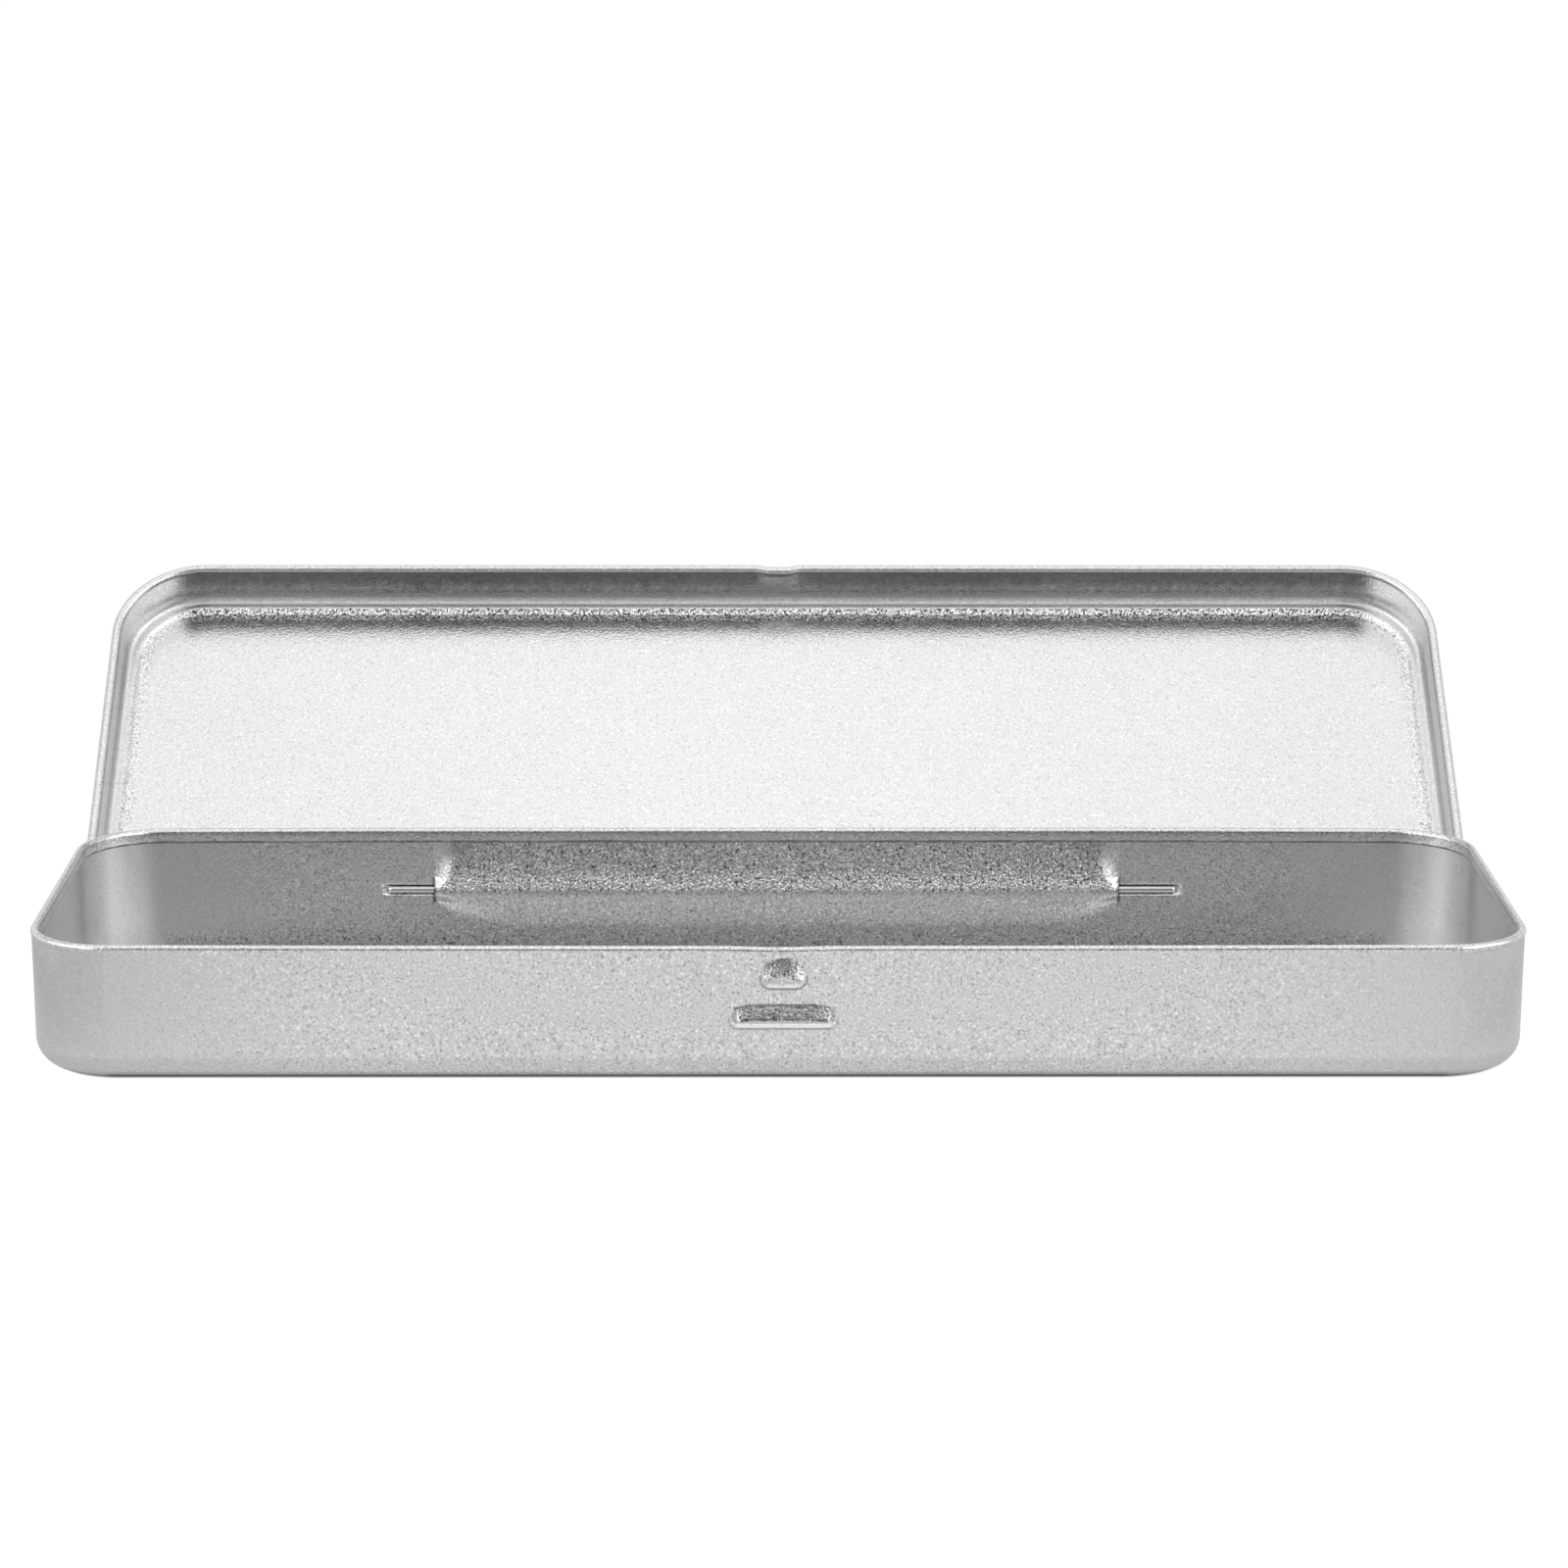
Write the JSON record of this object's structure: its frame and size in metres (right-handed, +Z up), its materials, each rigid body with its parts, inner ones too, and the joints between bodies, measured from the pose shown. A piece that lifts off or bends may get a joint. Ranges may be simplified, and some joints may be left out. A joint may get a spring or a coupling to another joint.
{
  "type": "pencil tin",
  "caption": "Slim hinged metal tin for pencils, stored open: a drawn tray with a rolled rim and front catch, and a shallow lid that turns on a hidden hinge wire.",
  "frame": {"origin": "centre of the tray's flat underside", "axes": "+X along the tin's length, +Y from the catch at the front to the hinge at the rear, +Z up"},
  "size_m": [0.1936, 0.1137, 0.0451],
  "materials": {
    "tray_tinplate": "satin, fine-grained bare tinplate",
    "lid_tinplate": "satin, fine-grained bare tinplate",
    "wire_steel": "bright drawn steel wire"
  },
  "bodies": {
    "base": {"base_tray": "tray_tinplate", "hinge_wire": "wire_steel"},
    "lid": {"lid": "lid_tinplate"}
  },
  "joints": [
    {"name": "lid_hinge", "type": "hinge", "parent": "base", "child": "lid", "pos_m": [0, 0.02976, 0.0091], "axis": [1, 0, 0], "range_deg": [0, 142]}
  ]
}
